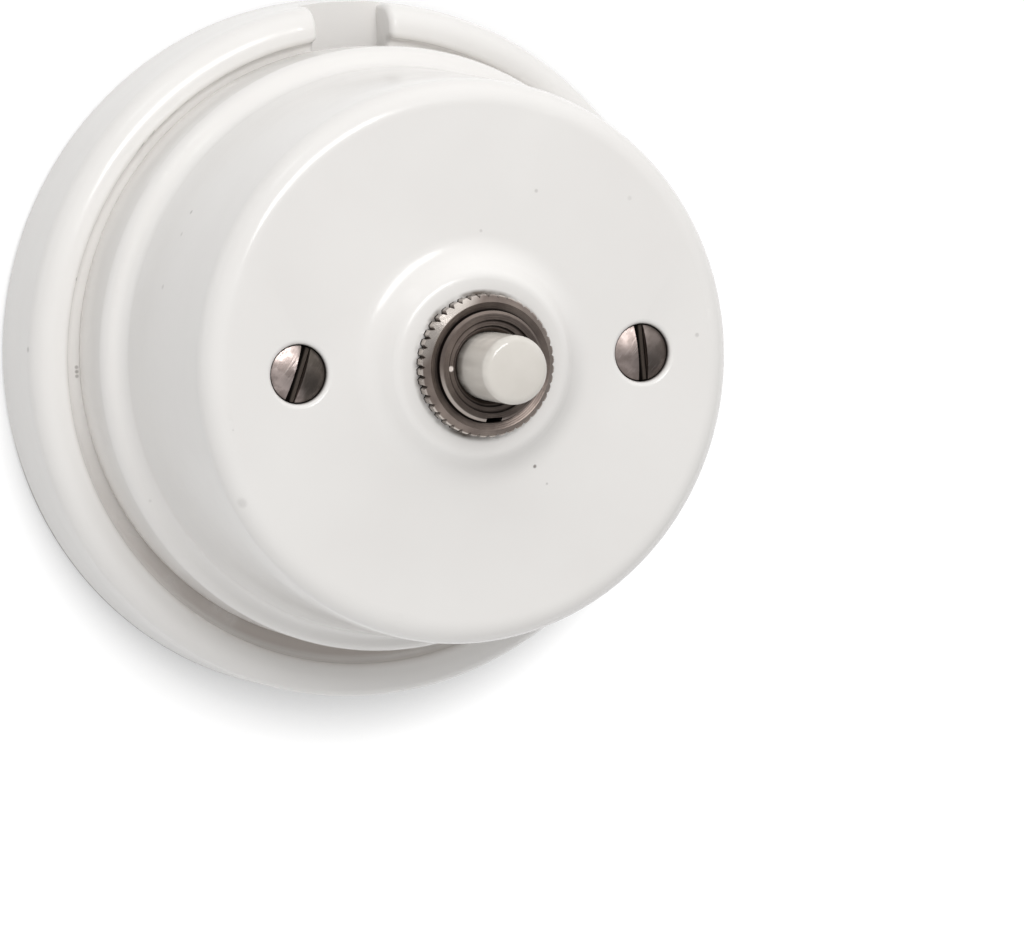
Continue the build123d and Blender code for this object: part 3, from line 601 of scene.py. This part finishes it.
def scratched_steel():
    """Dull steel with scratches, a darker right half of each head from olive staining and painted shade, and
    each slot painted dark as shade but for a paler lit strip.
    """
    material = bpy.data.materials.new("scratched_steel")
    tree = empty_tree(material)
    point, _, depth = measure(tree)
    sideways = add(tree, "SeparateXYZ", {0: point}).outputs["X"]
    patches = add(tree, "TexNoise", {"Vector": point, "Scale": 1 / STAIN_SIZE, "Detail": 5.0})

    angle = radians(SCRATCH_ANGLE)
    turned = add(tree, "VectorRotate", {"Vector": point, "Angle": angle}, rotation_type="Y_AXIS")
    grain = (1 / SCRATCH_LENGTH, 1 / SCRATCH_LENGTH, 1 / SCRATCH_WIDTH)
    drawn = add(tree, "VectorMath", {0: turned, 1: grain}, operation="MULTIPLY")
    lines = add(tree, "TexNoise", {"Vector": drawn, "Scale": 1.0, "Detail": 3.0})
    scratches = where(tree, (lines, 0.6, 0.72), strength=0.4)
    stains = where(tree, (patches, 0.55, 0.4), strength=0.5)

    right_screw = where(tree, (sideways, -1.0, 1.0))
    dulled = where(tree, (sideways, -1.0, 1.0), strength=0.45)
    # Olive tarnish and painted shade on the right half of each head
    shifted = add(tree, "Math", {0: sideways, 1: SCREW_OFFSET}, operation="ADD")
    from_middle = add(tree, "Math", {0: shifted, 1: SCREW_OFFSET, 2: -SCREW_OFFSET}, operation="WRAP")
    thickness = add(tree, "MapRange", {"Value": sideways, "From Min": -1.0, "To Min": 0.75, "To Max": 0.4})
    tarnish_and_shade = where(tree, (from_middle, -0.3, 0.9), (depth, HEAD_EDGE - 0.3, HEAD_EDGE), strength=thickness)

    across = []
    for x, lean in SLOTS:
        to_right = (cos(radians(lean)), 0, -sin(radians(lean)))
        offset = add(tree, "VectorMath", {0: point, 1: (x, 0, 0)}, operation="SUBTRACT")
        across.append(add(tree, "VectorMath", {0: offset, 1: to_right}, operation="DOT_PRODUCT"))
    from_slot = add(tree, "Mix", {"Factor": right_screw, "A": across[0], "B": across[1]})
    # Each slot painted dark as shade; a paler strip on the right of its floor stands for the lit part
    slot_shade = where(tree, (depth, HEAD_EDGE - 0.04, HEAD_EDGE - 0.2), (depth, HEADS_FROM, HEADS_FROM + 1.0))
    lit_slot_floor = where(
        tree, (depth, SLOT_FLOOR + 0.06, SLOT_FLOOR + 0.04), (from_slot, 0.0, 0.3), strength=slot_shade
    )
    colour = painted(
        tree, "#9E8F8A", (patches, "#D4C6C1"), (stains, "#6E645F"), (dulled, "#8A7E79"),
        (scratches, "#E6DCD8"), (tarnish_and_shade, "#524E46"), (slot_shade, "#161311"), (lit_slot_floor, "#6A615A"),
    )

    dull = add(tree, "MapRange", {
        "Value": patches, "From Min": 0.3, "From Max": 0.7, "To Min": 0.42, "To Max": 0.3
    })
    roughness = add(tree, "Mix", {"Factor": slot_shade, "A": dull, "B": 0.7})
    normal = add(tree, "Bump", {"Height": lines, "Distance": SCRATCH_DEPTH * MM})
    shader = add(tree, "BsdfPrincipled", {
        "Base Color": colour, "Roughness": roughness, "Metallic": 1.0, "Normal": normal
    })
    add(tree, "OutputMaterial", {"Surface": shader})
    return material


dress(scratched_steel(), "cover_screws", "pillar_screws")

# %% [markdown]
# The works inside are hidden by the cover, and get their finishes all the same. Pillars, contacts,
# clamps and their screws are plain turned brass, browned by age in patches. The lathe's fine rings
# run round each piece's own axis, which also points out of the wall, so a slow noise across the axis
# and a fast one along it stands for them. They are drawn coarser than they are, so that they show.


# %% Metals of the works
def aged_metal(name, fresh, aged, roughness, patch_size, line_width):
    """A bare metal that was turned or drawn: fine lines along it, and patches browned by age."""
    material = bpy.data.materials.new(name)
    tree = empty_tree(material)
    point = measure(tree)[0]
    patches = add(tree, "TexNoise", {"Vector": point, "Scale": 1 / patch_size, "Detail": 4.0})
    colour = painted(tree, fresh, (where(tree, (patches, 0.35, 0.7)), aged))
    dull = add(tree, "MapRange", {
        "Value": patches, "From Min": 0.3, "From Max": 0.7, "To Min": roughness, "To Max": roughness + 0.2
    })
    stretched = add(tree, "VectorMath", {0: point, 1: (0.3, 1 / line_width, 0.3)}, operation="MULTIPLY")
    lines = add(tree, "TexNoise", {"Vector": stretched, "Scale": 1.0, "Detail": 2.0})
    normal = add(tree, "Bump", {"Height": lines, "Distance": 0.01 * MM})
    shader = add(tree, "BsdfPrincipled", {
        "Base Color": colour, "Roughness": dull, "Metallic": 1.0, "Normal": normal
    })
    add(tree, "OutputMaterial", {"Surface": shader})
    return material


turned_brass = aged_metal(
    "turned_brass", "#C9A667", "#8A6C3C", roughness=0.25, patch_size=4.0, line_width=0.3
)
zinc_plate = aged_metal(
    "zinc_plated_steel", "#B9BCBE", "#8E9092", roughness=0.35, patch_size=3.0, line_width=0.5
)
spring_wire = aged_metal(
    "drawn_spring_wire", "#7C7E82", "#5C5650", roughness=0.3, patch_size=2.0, line_width=0.4
)
dress(
    turned_brass, "left_pillar", "right_pillar", "plunger_stem", "contact_bridge", "left_contact",
    "right_contact", "wire_clamps", "terminal_screws", "body_screws",
)
dress(zinc_plate, "key_washer")
dress(spring_wire, "return_spring", "bridge_clip")

# %% [markdown]
# The switch is moulded in brown phenolic, a hard plastic with a wood-flour filler that shows as a
# fine mottle under its skin. The washer between the bush and the cover is red vulcanised fibre,
# which is matt and shows short strands.


# %% Mouldings and fibre of the works
def filled_stuff(name, dark, pale, roughness, grain):
    """A non-metal with a filler: a mottle of two colours at the size of its grains."""
    material = bpy.data.materials.new(name)
    tree = empty_tree(material)
    point = measure(tree)[0]
    mottle = add(tree, "TexNoise", {"Vector": point, "Scale": 1 / grain, "Detail": 4.0})
    colour = painted(tree, dark, (where(tree, (mottle, 0.35, 0.7)), pale))
    dull = add(tree, "MapRange", {
        "Value": mottle, "From Min": 0.3, "From Max": 0.7, "To Min": roughness, "To Max": roughness + 0.15
    })
    normal = add(tree, "Bump", {"Height": mottle, "Distance": 0.01 * MM})
    shader = add(tree, "BsdfPrincipled", {
        "Base Color": colour, "Roughness": dull, "IOR": 1.55, "Normal": normal
    })
    add(tree, "OutputMaterial", {"Surface": shader})
    return material


brown_phenolic = filled_stuff("brown_phenolic", "#2A1710", "#4A2A1C", roughness=0.25, grain=0.6)
red_fibre = filled_stuff("red_fibre", "#6E2F22", "#8C4433", roughness=0.6, grain=0.4)
dress(brown_phenolic, "switch_body", "contact_plate")
dress(red_fibre, "sealing_washer")

# %% [markdown]
# Each face of a solid has its own edge in the mesh, and a highlight that crosses such an edge would
# break there. Glaze melts over them in one skin. So the three porcelain pieces are shown as copies
# whose faces are welded together and shaded smooth, and only true corners stay sharp.

# %% Weld the porcelain into one skin
WELD = 0.002
SHARP_CORNER = 30.0


def glazed_skin(name, body):
    """A copy of a porcelain solid with its faces welded, which moves with a body of the push."""
    skin = bmesh.new()
    skin.from_mesh(nodes[name].data)
    bmesh.ops.remove_doubles(skin, verts=skin.verts, dist=WELD * MM)
    mesh = bpy.data.meshes.new(name + "_skin")
    skin.to_mesh(mesh)
    skin.free()
    if "custom_normal" in mesh.attributes:
        mesh.attributes.remove(mesh.attributes["custom_normal"])
    mesh.shade_smooth()
    mesh.set_sharp_from_angle(angle=radians(SHARP_CORNER))
    mesh.materials.clear()
    mesh.materials.append(nodes[name].material_slots[0].material)
    piece = bpy.data.objects.new(name + "_skin", mesh)
    bpy.context.scene.collection.objects.link(piece)
    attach(piece, body)
    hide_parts(name)
    print(piece.name, "corners:", len(mesh.vertices), "of", len(nodes[name].data.vertices))


glazed_skin("mounting_base", "housing")
glazed_skin("cover", "housing")
glazed_skin("push_button", "plunger")

# %% [markdown]
# The return spring is the one piece that changes its shape. It stands on the switch, and the button's
# collar presses on its other end. A rigid solid can't give way, so a copy of the coil stands for it,
# and the length it is pressed to, shorter by as much as the button goes in, is worked out.

# %% A copy of the spring
push = frame["joints"][0]
travel = push["range_m"][1]
front_end, fixed_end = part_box("return_spring")
spring_length = fixed_end.y - front_end.y

coil = bpy.data.objects.new("return_coil", nodes["return_spring"].data.copy())
bpy.context.scene.collection.objects.link(coil)
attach(coil, push["parent"])
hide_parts("return_spring")
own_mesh(coil)
pressed_length = spring_length - travel
print("spring in mm:", round(spring_length / MM, 2), "pressed to", round(pressed_length / MM, 2))

# %% [markdown]
# Last, the colours are shown plain, with no film curve over them.

# %% Plain colours
bpy.context.scene.view_settings.view_transform = "Standard"
